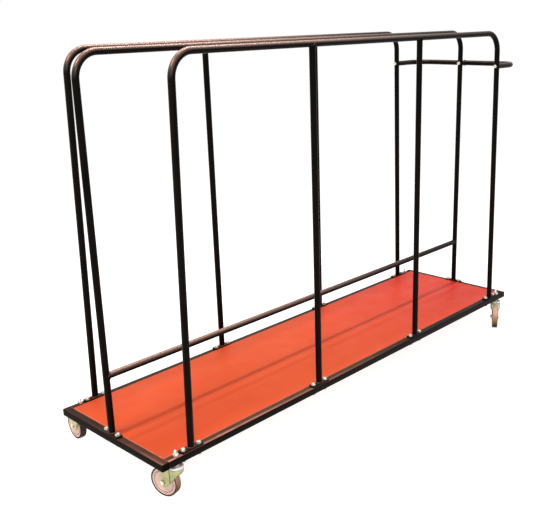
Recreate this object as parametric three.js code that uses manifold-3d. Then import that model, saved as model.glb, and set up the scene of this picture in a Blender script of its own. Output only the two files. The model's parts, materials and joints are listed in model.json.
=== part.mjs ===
// Mat trolley: a low frame on four castors, with three long tube hoops that hold mats on edge.
// Millimetres, +Z up. The near end is at -X, the push handle at +X, the front side at -Y.
import * as THREE from 'three';
import { mergeVertices } from 'three/addons/utils/BufferGeometryUtils.js';
import Module from 'manifold-3d';

const wasm = await Module();
wasm.setup();

// Base frame, of square box section
const frameLength = 2000;
const frameWidth = 550;
const railSize = 25;
const railWall = 1.5;
const railCorner = 2;
const railCapWall = 3;
const crossMemberHeight = 12;
const crossMemberCount = 4;
const crossMemberInset = 40;

// Deck panel, dropped in between the rails
const deckThickness = 15;
const deckSideGap = 0.8;
const deckCorner = 3;

// Hoops and handle, of one round tube
const tubeDiameter = 22;
const tubeWall = 1.5;
const bendRadius = 75;
const hoopHeight = 1180;
const sideHoopInset = 120;
const sideHoopSplay = 25;
const innerUprightCount = 2;
const lowRailHeight = 200;
const handleDrop = 135;
const handleOverhang = 40;
const handlePlugLength = 20;

// Foot plates under the uprights, each held by two bolts through the rail
const footLength = 84;
const footThickness = 5;
const footCorner = 4;
const footBoltSpacing = 60;
const footBolt = {
  diameter: 8, flats: 13, headHeight: 5.3, nutHeight: 6.5, washerDiameter: 16, washerThickness: 1.6, end: 2,
};

// Handle bolts, from the inner side of the far uprights into the handle
const handleBolt = { diameter: 8, flats: 13, headHeight: 5.3, grip: 16 };

// Castors, each hung on one threaded stem through a long rail, with its swivel head above the wheel
const wheelDiameter = 100;
const swivelHeadHeight = 20;
const castorHeight = wheelDiameter + swivelHeadHeight;
const castorInset = 60;
const wheelTrail = 45;
const tyreWidth = 23;
const tyreDepth = 5;
const tyreEdge = 1.5;
const hubDiameter = 20;
const dishWidth = 16;
const rimWidth = 21;
const rimDepth = 12;
const rimStep = 2;
const axle = { diameter: 8, flats: 13, headHeight: 5.3, nutHeight: 6.5, end: 1.5 };
const axleClearance = 0.4;
const stem = {
  diameter: 10, flats: 17, shoulderHeight: 5.5, nutFlats: 16, nutHeight: 8.4, rise: 20, tip: 1.5,
};
const cup = { diameter: 46, sheet: 2.4, depth: 7.5, edge: 2.5 };
const ballDiameter = 5.6;
const ballCircleDiameter = 34;
const kingpin = { diameter: 10, headDiameter: 16, headHeight: 3 };
const fork = {
  width: 45, legWidth: 31, sheet: 2.4, edge: 3, lip: 7, crownReach: 28, rearX: 50, rearDrop: 19.6,
  kneeTopDrop: 27.6, kneeBottomDrop: 43.6, lobeRadius: 11.5, lobeAhead: 5, lobeDrop: 4,
};

// The way that each wheel trails behind its stem, as an angle in plan from +X
const castors = [
  { name: 'castor_near_front', end: -1, side: -1, heading: 104 },
  { name: 'castor_near_rear', end: -1, side: 1, heading: 85 },
  { name: 'castor_far_front', end: 1, side: -1, heading: 211 },
  { name: 'castor_far_rear', end: 1, side: 1, heading: 150 },
];

// Seated, bolted and welded faces stand this far apart, and a bolt this far from its hole
const fitGap = 0.3;
// Cutting solids run past what they cut by this much
const overrun = 5;

// Faces round each kind of piece
const tubeSides = 12;
const boreSides = 8;
const boltSides = 8;
const hexSides = 6;
const ballSides = 8;
const turnedSides = 12;
const crownSides = 24;
const wheelSides = 24;
const bendSteps = 5;

// Heights and lines that several pieces share
const railUnderside = castorHeight;
const railTop = castorHeight + railSize;
const railLineY = (frameWidth - railSize) / 2;
const endRailX = (frameLength - railSize) / 2;
const tubeRadius = tubeDiameter / 2;
const hoopTop = railTop + hoopHeight;
const footTop = railTop + fitGap + footThickness;
const tubeBottom = footTop + fitGap;
const sideUprightX = frameLength / 2 - sideHoopInset;
const sideLean = Math.atan(sideHoopSplay / hoopHeight);
const handleZ = hoopTop - handleDrop;
const handleBarX = frameLength / 2 + handleOverhang - tubeRadius;
const crossMemberTop = railUnderside + crossMemberHeight;
const castorX = frameLength / 2 - castorInset;

function finish(color, roughness, metalness) {
  return new THREE.MeshStandardMaterial({ color, roughness, metalness });
}

const blackPaint = finish(0x1c1a19, 0.4, 0.4);
const zinc = finish(0xd9d6c8, 0.35, 0.9);
const passivatedZinc = finish(0xbfc28e, 0.4, 0.8);
const brightSteel = finish(0xe6e6e8, 0.2, 0.9);
const deckRed = finish(0xf0643c, 0.45, 0);
const palePlastic = finish(0xf3d8ce, 0.5, 0);
const greyRubber = finish(0x75695c, 0.8, 0);

const trolley = new THREE.Group();

// Turns a closed geometry into a solid that can be joined and cut
function solid(geometry) {
  const bare = geometry.index ? geometry.clone() : geometry;
  bare.deleteAttribute('normal');
  bare.deleteAttribute('uv');
  const merged = mergeVertices(bare, 1e-4);
  return new wasm.Manifold(new wasm.Mesh({
    numProp: 3,
    vertProperties: new Float32Array(merged.attributes.position.array),
    triVerts: new Uint32Array(merged.index.array),
  }));
}

function geometryOf(body) {
  const mesh = body.getMesh();
  const geometry = new THREE.BufferGeometry();
  geometry.setAttribute('position', new THREE.BufferAttribute(new Float32Array(mesh.vertProperties), 3));
  geometry.setIndex(new THREE.BufferAttribute(new Uint32Array(mesh.triVerts), 1));
  geometry.computeVertexNormals();
  return geometry;
}

function addPiece(name, body, material, parent = trolley) {
  const mesh = new THREE.Mesh(geometryOf(body), material);
  mesh.name = name;
  parent.add(mesh);
  return mesh;
}

// A polygon of equal sides, as the points of a circle's section
function circlePoints(radius, sides) {
  return Array.from({ length: sides }, (_, i) => {
    const angle = (i / sides) * 2 * Math.PI;
    return new THREE.Vector2(radius * Math.cos(angle), radius * Math.sin(angle));
  });
}

// A solid bar standing from z = low to z = high
function bar(radius, low, high, sides) {
  const geometry = new THREE.CylinderGeometry(radius, radius, high - low, sides);
  return solid(geometry.rotateX(Math.PI / 2).translate(0, 0, (low + high) / 2));
}

// Cuts a clear hole for a round piece of the given diameter, with its flat sides outside the gap
function hole(diameter, low, high, sides) {
  return bar((diameter / 2 + fitGap) / Math.cos(Math.PI / sides), low, high, sides);
}

// A hexagon prism with the given distance across its flats
function hexagon(flats, low, high) {
  return bar(flats / 2 / Math.cos(Math.PI / hexSides), low, high, hexSides);
}

function block(sizeX, sizeY, sizeZ) {
  return solid(new THREE.BoxGeometry(sizeX, sizeY, sizeZ));
}

function roundedRectangle(width, height, corner) {
  const x = width / 2 - corner;
  const y = height / 2 - corner;
  const shape = new THREE.Shape();
  shape.absarc(x, y, corner, 0, Math.PI / 2);
  shape.absarc(-x, y, corner, Math.PI / 2, Math.PI);
  shape.absarc(-x, -y, corner, Math.PI, 1.5 * Math.PI);
  shape.absarc(x, -y, corner, 1.5 * Math.PI, 2 * Math.PI);
  return shape;
}

// A prism of the shape, centred on z = 0
function prism(shape, depth) {
  const geometry = new THREE.ExtrudeGeometry(shape, { depth, bevelEnabled: false, curveSegments: 1 });
  return solid(geometry.translate(0, 0, -depth / 2));
}

function turned(profile, sides) {
  const points = profile.map(([radius, height]) => new THREE.Vector2(radius, height));
  return solid(new THREE.LatheGeometry(points, sides).rotateX(Math.PI / 2));
}

// Turns a solid that stands along Z to lie along X or Y
const alongX = (body) => body.rotate([0, 90, 0]);
const alongY = (body) => body.rotate([90, 0, 0]);

// A path that is given by its stations, so that a straight run takes one step and a bend several
class StationPath extends THREE.Curve {
  constructor(stations) {
    super();
    this.stations = stations;
  }

  stationAt(u) {
    return this.stations[Math.round(u * (this.stations.length - 1))];
  }

  getPointAt(u, target = new THREE.Vector3()) {
    return target.copy(this.stationAt(u).point);
  }

  getTangentAt(u, target = new THREE.Vector3()) {
    return target.copy(this.stationAt(u).tangent);
  }
}

// Stations of an inverted U in its own plane (along, up): two legs, two bends and a bar between them.
// The legs lean in by the given angle, and their ends are cut level.
function hoopStations(halfSpan, legStart, barLevel, lean = 0) {
  const stations = [{ point: [-halfSpan, legStart], tangent: [0, 1] }];
  const bendCentre = barLevel - bendRadius;
  const legRise = bendCentre + bendRadius * Math.sin(lean) - legStart;
  const halfBar = halfSpan - legRise * Math.tan(lean) - bendRadius * Math.cos(lean);
  const fullBend = Math.PI / 2 - lean;
  for (const side of [-1, 1]) {
    for (let step = 0; step <= bendSteps; step += 1) {
      const swept = (step / bendSteps) * fullBend;
      const angle = side < 0 ? Math.PI - lean - swept : Math.PI / 2 - swept;
      stations.push({
        point: [side * halfBar + bendRadius * Math.cos(angle), bendCentre + bendRadius * Math.sin(angle)],
        tangent: [Math.sin(angle), -Math.cos(angle)],
      });
    }
  }
  stations.push({ point: [halfSpan, legStart], tangent: [0, -1] });
  return stations;
}

function tubeSection() {
  const section = new THREE.Shape(circlePoints(tubeRadius, tubeSides));
  section.holes.push(new THREE.Path(circlePoints(tubeRadius - tubeWall, boreSides)));
  return section;
}

// A bent tube along stations, each placed in space by the given function
function bentTube(stations, place) {
  const path = new StationPath(stations.map(({ point, tangent }) => ({
    point: place(point[0], point[1]),
    tangent: place(tangent[0], tangent[1]).sub(place(0, 0)),
  })));
  return solid(new THREE.ExtrudeGeometry(tubeSection(), { steps: stations.length - 1, extrudePath: path }));
}

// A straight tube standing from z = low to z = high
function straightTube(low, high) {
  const geometry = new THREE.ExtrudeGeometry(tubeSection(), { depth: high - low, bevelEnabled: false });
  return solid(geometry.translate(0, 0, low));
}

// Where the uprights of a hoop stand on the rails
function feetOf(hoop) {
  const near = { name: `${hoop.name}_hoop_near_foot`, x: -hoop.halfSpan };
  const far = { name: `${hoop.name}_hoop_far_foot`, x: hoop.halfSpan };
  const inner = hoop.uprights.map((x, i) => ({ name: `${hoop.name}_hoop_upright_${i + 1}_foot`, x }));
  return [near, ...inner, far].map((foot) => ({ ...foot, y: hoop.y }));
}

const innerUprights = Array.from(
  { length: innerUprightCount },
  (_, i) => -sideUprightX + ((i + 1) / (innerUprightCount + 1)) * 2 * sideUprightX,
);
const hoops = [
  { name: 'front', y: -railLineY, halfSpan: sideUprightX, lean: sideLean, uprights: innerUprights },
  { name: 'middle', y: 0, halfSpan: endRailX, lean: 0, uprights: [] },
  { name: 'rear', y: railLineY, halfSpan: sideUprightX, lean: sideLean, uprights: innerUprights },
];
const feet = hoops.flatMap(feetOf);
const onEndRail = (foot) => foot.y === 0;

// The bolt places of one foot, which run along the rail that it stands on
function footBoltPlaces(foot) {
  return [-1, 1].map((side) => {
    const shift = (side * footBoltSpacing) / 2;
    return onEndRail(foot) ? [foot.x, foot.y + shift] : [foot.x + shift, foot.y];
  });
}

// Box section rails: the end rails run the full width with closed ends, the long rails butt between
function buildRails() {
  const inner = railSize - 2 * railWall;
  const outline = roundedRectangle(railSize, railSize, railCorner);
  const holeAt = ([x, y], diameter) => (
    hole(diameter, railUnderside - overrun, railTop + overrun, boltSides).translate([x, y, 0])
  );
  const railZ = railUnderside + railSize / 2;
  const boltHoles = (test) => feet.filter(test).flatMap(footBoltPlaces)
    .map((place) => holeAt(place, footBolt.diameter));

  for (const end of [-1, 1]) {
    const cavity = block(inner, frameWidth - 2 * railCapWall, inner);
    const rail = alongY(prism(outline, frameWidth)).subtract(cavity)
      .translate([end * endRailX, 0, railZ]);
    const holes = boltHoles((foot) => onEndRail(foot) && foot.x * end > 0);
    const name = end < 0 ? 'near_end_rail' : 'far_end_rail';
    addPiece(name, wasm.Manifold.difference([rail, ...holes]), blackPaint);
  }
  const longLength = frameLength - 2 * railSize - 2 * fitGap;
  for (const side of [-1, 1]) {
    const cavity = block(longLength + overrun, inner, inner);
    const rail = alongX(prism(outline, longLength)).subtract(cavity)
      .translate([0, side * railLineY, railZ]);
    const holes = boltHoles((foot) => foot.y * side > 0);
    const stemHoles = [-1, 1].map((end) => holeAt([end * castorX, side * railLineY], stem.diameter));
    const name = side < 0 ? 'front_rail' : 'rear_rail';
    addPiece(name, wasm.Manifold.difference([rail, ...holes, ...stemHoles]), blackPaint);
  }
}

// Flat box sections across the frame, level with its underside, which carry the deck
function buildCrossMembers() {
  const length = frameWidth - 2 * railSize - 2 * fitGap;
  const lastX = frameLength / 2 - crossMemberInset;
  for (let i = 0; i < crossMemberCount; i += 1) {
    const x = -lastX + (i / (crossMemberCount - 1)) * 2 * lastX;
    const outside = block(railSize, length, crossMemberHeight);
    const cavity = block(railSize - 2 * railWall, length + overrun, crossMemberHeight - 2 * railWall);
    const member = outside.subtract(cavity).translate([x, 0, railUnderside + crossMemberHeight / 2]);
    addPiece(`cross_member_${i + 1}`, member, blackPaint);
  }
}

function buildDeck() {
  const inset = railSize + deckSideGap;
  const outline = roundedRectangle(frameLength - 2 * inset, frameWidth - 2 * inset, deckCorner);
  const z = crossMemberTop + fitGap + deckThickness / 2;
  addPiece('deck_panel', prism(outline, deckThickness).translate([0, 0, z]), deckRed);
}

// Where the leaning far leg of a hoop is at the handle's height
function handleJointX(hoop) {
  return hoop.halfSpan - (handleZ - tubeBottom) * Math.tan(hoop.lean);
}

function buildHoops() {
  for (const hoop of hoops) {
    const place = (along, up) => new THREE.Vector3(along, hoop.y, up);
    const tube = bentTube(hoopStations(hoop.halfSpan, tubeBottom, hoopTop, hoop.lean), place);
    const reach = tubeRadius + overrun;
    const boltHole = alongX(hole(handleBolt.diameter, -reach, reach, boltSides))
      .translate([handleJointX(hoop), hoop.y, handleZ]);
    addPiece(`${hoop.name}_hoop`, tube.subtract(boltHole), blackPaint);

    hoop.uprights.forEach((x, i) => {
      const saddle = alongX(hole(tubeDiameter, -reach, reach, tubeSides)).translate([0, 0, hoopTop]);
      const upright = straightTube(tubeBottom, hoopTop - tubeRadius / 2).subtract(saddle);
      addPiece(`${hoop.name}_hoop_upright_${i + 1}`, upright.translate([x, hoop.y, 0]), blackPaint);
    });
  }
}

// The low rail between the two legs of the middle hoop, coped round each leg
function buildLowRail() {
  const z = railTop + lowRailHeight;
  const half = endRailX - tubeRadius / 2;
  const legs = [-1, 1].map((end) => (
    hole(tubeDiameter, z - tubeDiameter, z + tubeDiameter, tubeSides).translate([end * endRailX, 0, 0])
  ));
  const rail = alongX(straightTube(-half, half)).translate([0, 0, z]);
  addPiece('middle_low_rail', wasm.Manifold.difference([rail, ...legs]), blackPaint);
}

// A bolt with its washer and nut, clamping from z = top down to z = bottom
function boltWithNut(bolt, top, bottom) {
  const washerTop = top + bolt.washerThickness;
  const nutTop = bottom - fitGap;
  const nutBottom = nutTop - bolt.nutHeight;
  return wasm.Manifold.union([
    bar(bolt.diameter / 2, nutBottom - bolt.end, washerTop + bolt.headHeight / 2, boltSides),
    bar(bolt.washerDiameter / 2, top - bolt.washerThickness / 2, washerTop, tubeSides),
    hexagon(bolt.flats, washerTop, washerTop + bolt.headHeight),
    hexagon(bolt.flats, nutBottom, nutTop),
  ]);
}

// One foot plate with the two bolts that fix it to the rail
function buildFoot(foot) {
  const outline = roundedRectangle(footLength, railSize, footCorner);
  const plate = prism(outline, footThickness).translate([0, 0, footTop - footThickness / 2]);
  const bolts = [-1, 1].map((side) => boltWithNut(footBolt, footTop, railUnderside)
    .translate([(side * footBoltSpacing) / 2, 0, 0]));
  const whole = wasm.Manifold.union([plate, ...bolts]).rotate([0, 0, onEndRail(foot) ? 90 : 0]);
  addPiece(foot.name, whole.translate([foot.x, foot.y, 0]), blackPaint);
}

// The U-shaped push handle, its middle stub, and a bolt through each of the three far uprights
function buildHandle() {
  const joints = hoops.map((hoop) => ({ ...hoop, x: handleJointX(hoop) }));
  const [front, middle, rear] = joints;
  const legCut = ({ x, y, lean }) => (
    hole(tubeDiameter, -tubeDiameter, tubeDiameter, tubeSides)
      .rotate([0, THREE.MathUtils.radToDeg(-lean), 0]).translate([x, y, handleZ])
  );
  const boltCut = ({ x, y }, depth) => (
    alongX(hole(handleBolt.diameter, 0, tubeRadius + depth, boltSides)).translate([x, y, handleZ])
  );

  const legStart = front.x + tubeRadius / 2;
  const place = (along, up) => new THREE.Vector3(up, along, handleZ);
  const tube = bentTube(hoopStations(railLineY, legStart, handleBarX), place);
  const plugEnd = front.x + tubeRadius + handlePlugLength;
  const plugs = [front, rear].map(({ y }) => alongX(bar(
    tubeRadius - tubeWall / 2, legStart, plugEnd, tubeSides,
  )).translate([0, y, handleZ]));
  const joined = wasm.Manifold.union([tube, ...plugs]);
  const throughPlug = handlePlugLength + overrun;
  const cuts = [front, rear].flatMap((joint) => [legCut(joint), boltCut(joint, throughPlug)]);
  addPiece('push_handle', wasm.Manifold.difference([joined, ...cuts]), blackPaint);

  const stubStart = middle.x + tubeRadius / 2;
  const stubEnd = handleBarX - tubeRadius / 2;
  const rod = alongX(bar(tubeRadius, stubStart, stubEnd, tubeSides)).translate([0, 0, handleZ]);
  const barCut = alongY(hole(tubeDiameter, -tubeDiameter, tubeDiameter, tubeSides))
    .translate([handleBarX, 0, handleZ]);
  const stubCuts = [legCut(middle), barCut, boltCut(middle, handleBolt.grip + fitGap)];
  addPiece('handle_stub', wasm.Manifold.difference([rod, ...stubCuts]), blackPaint);

  for (const { name, x, y } of joints) {
    const headSeat = -tubeRadius - fitGap;
    const insideHead = headSeat - handleBolt.headHeight / 2;
    const bolt = alongX(wasm.Manifold.union([
      hexagon(handleBolt.flats, headSeat - handleBolt.headHeight, headSeat),
      bar(handleBolt.diameter / 2, insideHead, tubeRadius + handleBolt.grip, boltSides),
    ]));
    addPiece(`handle_bolt_${name}`, bolt.translate([x, y, handleZ]), zinc);
  }
}

// Heights inside a castor's swivel head, worked down from the underside of the rail
const shoulderTop = railUnderside - fitGap;
const cupTop = shoulderTop - stem.shoulderHeight;
const cupUnderside = cupTop - cup.sheet;
const ballTop = cupUnderside - fitGap;
const crownTop = ballTop - ballDiameter - fitGap;
const crownUnderside = crownTop - fork.sheet;
const kneeTop = crownTop - fork.kneeTopDrop;
const kneeBottom = crownTop - fork.kneeBottomDrop;
const axleZ = wheelDiameter / 2;

// The threaded stem with its hexagon shoulder, the fixed raceway cup and the riveted kingpin
function castorStem() {
  const stemTop = railTop + stem.rise;
  const rivetTop = crownUnderside - fitGap;
  const cupRadius = cup.diameter / 2;
  const body = turned([
    [0, rivetTop - kingpin.headHeight],
    [kingpin.headDiameter / 2, rivetTop - kingpin.headHeight],
    [kingpin.headDiameter / 2, rivetTop],
    [kingpin.diameter / 2, rivetTop],
    [kingpin.diameter / 2, cupUnderside],
    [cupRadius - cup.sheet, cupUnderside],
    [cupRadius - cup.sheet, cupTop - cup.depth],
    [cupRadius, cupTop - cup.depth],
    [cupRadius, cupTop - cup.edge],
    [cupRadius - cup.edge, cupTop],
    [stem.diameter / 2, cupTop],
    [stem.diameter / 2, stemTop - stem.tip],
    [stem.diameter / 2 - stem.tip, stemTop],
    [0, stemTop],
  ], turnedSides);
  return body.add(hexagon(stem.flats, cupTop - cup.sheet / 2, shoulderTop));
}

function castorNut() {
  const low = railTop + fitGap;
  const bore = hole(stem.diameter, low - overrun, low + stem.nutHeight + overrun, tubeSides);
  return hexagon(stem.nutFlats, low, low + stem.nutHeight).subtract(bore);
}

// The ring of bearing balls between cup and fork
function ballRing() {
  const centre = ballTop - ballDiameter / 2;
  const profile = circlePoints(ballDiameter / 2, ballSides)
    .map((point) => [ballCircleDiameter / 2 + point.x, centre + point.y]);
  return turned([...profile, profile[0]], turnedSides);
}

// Pressed steel fork: a round crown that draws in below, and two flat cheeks from it back to the axle
function castorFork() {
  const outer = fork.width / 2;
  const leg = fork.legWidth / 2;
  const lobe = { x: wheelTrail - fork.lobeAhead, z: axleZ - fork.lobeDrop };
  const low = lobe.z - fork.lobeRadius - overrun;
  const halfSection = [
    [leg - fork.sheet, crownUnderside],
    [leg - fork.sheet, low],
    [leg, low],
    [leg, crownTop - fork.edge],
    [leg - fork.edge, crownTop],
  ];
  const otherHalf = [...halfSection].reverse().map(([y, z]) => [-y, z]);
  const section = new THREE.Shape([...halfSection, ...otherHalf].map(([y, z]) => new THREE.Vector2(y, z)));
  const depth = wheelTrail + 2 * fork.lobeRadius;
  const legGeometry = new THREE.ExtrudeGeometry(section, { depth, bevelEnabled: false });
  const legs = solid(legGeometry.rotateX(Math.PI / 2).rotateZ(Math.PI / 2));

  const crown = turned([
    [kingpin.diameter / 2, crownUnderside],
    [outer - fork.sheet, crownUnderside],
    [outer - fork.sheet, kneeTop],
    [leg - fork.sheet, kneeBottom],
    [leg, kneeBottom],
    [outer, kneeTop],
    [outer, crownTop - fork.edge],
    [outer - fork.edge, crownTop],
    [kingpin.diameter / 2, crownTop],
    [kingpin.diameter / 2, crownUnderside],
  ], crownSides);
  const wheelRoom = block(fork.width, fork.legWidth - 2 * fork.sheet, 2 * crownUnderside)
    .translate([fork.width / 2, 0, 0]);

  const side = new THREE.Shape();
  const nose = { x: -outer, z: crownTop - fork.lip };
  const toNose = Math.hypot(nose.x - lobe.x, nose.z - lobe.z);
  const frontTangent = Math.atan2(nose.z - lobe.z, nose.x - lobe.x) + Math.acos(fork.lobeRadius / toNose);
  side.moveTo(nose.x - overrun, crownTop + overrun);
  side.lineTo(nose.x - overrun, nose.z);
  side.lineTo(nose.x, nose.z);
  side.absarc(lobe.x, lobe.z, fork.lobeRadius, frontTangent, 2 * Math.PI);
  side.lineTo(fork.rearX, crownTop - fork.rearDrop);
  side.lineTo(fork.crownReach, crownTop);
  side.lineTo(fork.crownReach, crownTop + overrun);
  const across = { depth: 2 * fork.width, bevelEnabled: false, curveSegments: 4 };
  const sideGeometry = new THREE.ExtrudeGeometry(side, across);
  const profile = solid(sideGeometry.rotateX(Math.PI / 2).translate(0, fork.width, 0));

  const kingpinHole = hole(kingpin.diameter, crownUnderside - overrun, crownTop + overrun, turnedSides);
  const axleHole = alongY(hole(axle.diameter, -fork.width, fork.width, boltSides))
    .translate([wheelTrail, 0, axleZ]);
  return legs.add(crown).subtract(wheelRoom).intersect(profile).subtract(kingpinHole).subtract(axleHole);
}

// The axle bolt with its nut, head on the side that shows
function castorAxle() {
  const seat = fork.legWidth / 2 + fitGap;
  const body = wasm.Manifold.union([
    bar(axle.diameter / 2, -seat - axle.nutHeight - axle.end, seat + axle.headHeight / 2, tubeSides),
    hexagon(axle.flats, seat, seat + axle.headHeight),
    hexagon(axle.flats, -seat - axle.nutHeight, -seat),
  ]);
  return body.rotate([-90, 0, 0]).translate([wheelTrail, 0, axleZ]);
}

// Turns one half of a wheel's profile, mirrored, about the axle, with a flat of the rim at the bottom
function wheelPiece(half) {
  const otherHalf = [...half].reverse().map(([radius, side]) => [radius, -side]);
  const wheel = turned([...half, ...otherHalf, half[0]].reverse(), wheelSides);
  return alongY(wheel.rotate([0, 0, 180 / wheelSides])).translate([wheelTrail, 0, axleZ]);
}

// Moulded wheel centre with its hub, a dished web and a stepped rim
function wheelCore() {
  const hubHalf = fork.legWidth / 2 - fork.sheet - fitGap;
  const bore = axle.diameter / 2 + axleClearance;
  const rimRadius = wheelDiameter / 2 - tyreDepth - fitGap;
  const stepRadius = rimRadius - rimDepth;
  return wheelPiece([
    [bore, hubHalf],
    [hubDiameter / 2, hubHalf],
    [hubDiameter / 2, dishWidth / 2],
    [stepRadius - rimStep, dishWidth / 2],
    [stepRadius, rimWidth / 2],
    [rimRadius, rimWidth / 2],
  ]);
}

// The tyre, whose flats lie on the real tread circle
function wheelTyre() {
  const inner = wheelDiameter / 2 - tyreDepth;
  const outer = wheelDiameter / 2 / Math.cos(Math.PI / wheelSides);
  return wheelPiece([
    [inner, tyreWidth / 2],
    [outer - tyreEdge, tyreWidth / 2],
    [outer, tyreWidth / 2 - tyreEdge],
  ]);
}

function buildCastors() {
  for (const { name, end, side, heading } of castors) {
    const group = new THREE.Group();
    group.position.set(end * castorX, side * railLineY, 0);
    group.rotation.z = THREE.MathUtils.degToRad(heading);
    trolley.add(group);
    addPiece(`${name}_stem`, castorStem(), brightSteel, group);
    addPiece(`${name}_nut`, castorNut(), zinc, group);
    addPiece(`${name}_ball_ring`, ballRing(), brightSteel, group);
    addPiece(`${name}_fork`, castorFork(), passivatedZinc, group);
    addPiece(`${name}_axle`, castorAxle(), zinc, group);
    addPiece(`${name}_wheel_core`, wheelCore(), palePlastic, group);
    addPiece(`${name}_tyre`, wheelTyre(), greyRubber, group);
  }
}

buildRails();
buildCrossMembers();
buildDeck();
buildHoops();
buildLowRail();
feet.forEach(buildFoot);
buildHandle();
buildCastors();

// The origin is on the floor, under the middle of the whole trolley as it stands
const reach = new THREE.Box3().setFromObject(trolley);
trolley.position.set(-(reach.min.x + reach.max.x) / 2, -(reach.min.y + reach.max.y) / 2, -reach.min.z);

export default trolley;
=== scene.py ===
import json
import math

import bmesh
import bpy
from mathutils import Matrix, Vector


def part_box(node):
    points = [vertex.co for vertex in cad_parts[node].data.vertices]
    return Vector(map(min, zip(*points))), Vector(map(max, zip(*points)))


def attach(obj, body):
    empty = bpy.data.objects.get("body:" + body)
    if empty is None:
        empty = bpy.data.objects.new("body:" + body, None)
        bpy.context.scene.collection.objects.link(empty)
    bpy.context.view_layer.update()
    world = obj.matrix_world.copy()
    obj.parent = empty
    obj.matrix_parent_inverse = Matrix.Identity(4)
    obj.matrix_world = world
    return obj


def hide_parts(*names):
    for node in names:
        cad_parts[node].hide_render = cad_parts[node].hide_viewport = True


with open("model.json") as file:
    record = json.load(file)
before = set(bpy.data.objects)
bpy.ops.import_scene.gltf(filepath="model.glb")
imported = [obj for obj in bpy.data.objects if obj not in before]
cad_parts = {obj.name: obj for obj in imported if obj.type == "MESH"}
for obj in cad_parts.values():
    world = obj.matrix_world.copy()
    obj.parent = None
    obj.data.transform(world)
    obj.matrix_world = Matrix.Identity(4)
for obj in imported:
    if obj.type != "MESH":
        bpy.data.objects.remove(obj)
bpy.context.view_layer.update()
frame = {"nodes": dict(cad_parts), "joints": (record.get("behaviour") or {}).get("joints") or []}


# Base frame. Four lengths of 25 mm square steel tube with a 1.5 mm wall. The two end rails run the full
# width and have their ends closed by welded plates. The front and rear rails butt between them. The whole
# is powder coated satin black, with a little brown dusting on the faces that look up, which is partly a
# painted highlight, and a pale painted highlight along the outer top edges of the front and near-end rails.
rail_wall = 0.0015
rail_corner = 0.0025
end_plate = 0.003
edge_highlight_width = 0.011


def seen(red, green, blue):
    """A colour as it looks on a screen, from 0 to 255, as the linear colour that a shader takes."""
    shares = [value / 255 for value in (red, green, blue)]
    return tuple(s / 12.92 if s <= 0.04045 else ((s + 0.055) / 1.055) ** 2.4 for s in shares) + (1.0,)


def shader_of(finish):
    return finish.node_tree.nodes["Principled BSDF"]


def new_finish(name, **settings):
    """A material, with its principled shader's sockets set."""
    finish = bpy.data.materials.new(name)
    finish.use_nodes = True
    for socket, value in settings.items():
        shader_of(finish).inputs[socket.replace("_", " ")].default_value = value
    return finish


def add_node(finish, kind, inputs=None, **settings):
    node = finish.node_tree.nodes.new("ShaderNode" + kind)
    for key, value in settings.items():
        setattr(node, key, value)
    for socket, value in (inputs or {}).items():
        if isinstance(value, bpy.types.NodeSocket):
            finish.node_tree.links.new(value, node.inputs[socket])
        else:
            node.inputs[socket].default_value = value
    return node


def mottle(finish, scale, detail=3.0, stretch=(1, 1, 1)):
    """A cloudy pattern fixed to the piece, from 0 to 1. The scale is in clouds to the metre."""
    place = add_node(finish, "TexCoord").outputs["Object"]
    spread = add_node(finish, "Mapping", {"Vector": place, "Scale": stretch})
    cloud = {"Vector": spread.outputs["Vector"], "Scale": scale, "Detail": detail}
    return add_node(finish, "TexNoise", cloud).outputs["Fac"]


def graded(finish, factor, *stops):
    """Turns a factor into a colour, by stops of a place from 0 to 1 and a colour."""
    ramp = add_node(finish, "ValToRGB", {"Fac": factor})
    elements = ramp.color_ramp.elements
    elements[0].position, elements[0].color = stops[0]
    elements[1].position, elements[1].color = stops[-1]
    for place, colour in stops[1:-1]:
        elements.new(place).color = colour
    return ramp.outputs["Color"]


def clouded(finish, first, second, scale, detail=3.0, stretch=(1, 1, 1)):
    """Two colours that run into each other in a cloudy pattern."""
    return graded(finish, mottle(finish, scale, detail, stretch), (0.3, first), (0.7, second))


def graded_value(finish, factor, low, high, start=0.3, end=0.7):
    """Spreads a factor between start and end over the values low to high."""
    span = {"Value": factor, "From Min": start, "From Max": end, "To Min": low, "To Max": high}
    return add_node(finish, "MapRange", span).outputs["Result"]


def facing_up(finish, start=0.35, end=0.95):
    """From 0 on faces that look sideways or down to 1 on those that look straight up."""
    normal = add_node(finish, "NewGeometry").outputs["Normal"]
    upward = add_node(finish, "SeparateXYZ", {"Vector": normal}).outputs["Z"]
    return graded_value(finish, upward, 0.0, 1.0, start, end)


def place_along(finish, axis):
    """Where a point of the surface is along one of the piece's own axes."""
    place = add_node(finish, "TexCoord").outputs["Object"]
    return add_node(finish, "SeparateXYZ", {"Vector": place}).outputs[axis]


def fading_along(finish, axis, near, far, start, end):
    """Goes from one value to another between two places along the trolley or across it."""
    return graded_value(finish, place_along(finish, axis), near, far, start, end)


def reckoned(finish, operation, first, second=0.0):
    return add_node(finish, "Math", {0: first, 1: second}, operation=operation).outputs["Value"]


def product(finish, first, *others):
    for factor in others:
        first = reckoned(finish, "MULTIPLY", first, factor)
    return first


def blended(finish, factor, first, second):
    """One colour over another, by a factor."""
    node = add_node(finish, "Mix", data_type="RGBA")
    colour_sockets = [socket for socket in node.inputs if socket.type == "RGBA"]
    for socket, value in ((node.inputs["Factor"], factor), *zip(colour_sockets, (first, second))):
        if isinstance(value, bpy.types.NodeSocket):
            finish.node_tree.links.new(value, socket)
        else:
            socket.default_value = value
    return [socket for socket in node.outputs if socket.type == "RGBA"][0]


def set_socket(finish, name, output):
    """Feeds a socket of the finish's shader."""
    finish.node_tree.links.new(output, shader_of(finish).inputs[name])


def raise_skin(finish, height, distance):
    """Small unevenness of the surface, as a height pattern that stands out by the given distance."""
    bump = add_node(finish, "Bump", {"Height": height, "Distance": distance, "Strength": 1.0})
    set_socket(finish, "Normal", bump.outputs["Normal"])


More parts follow.
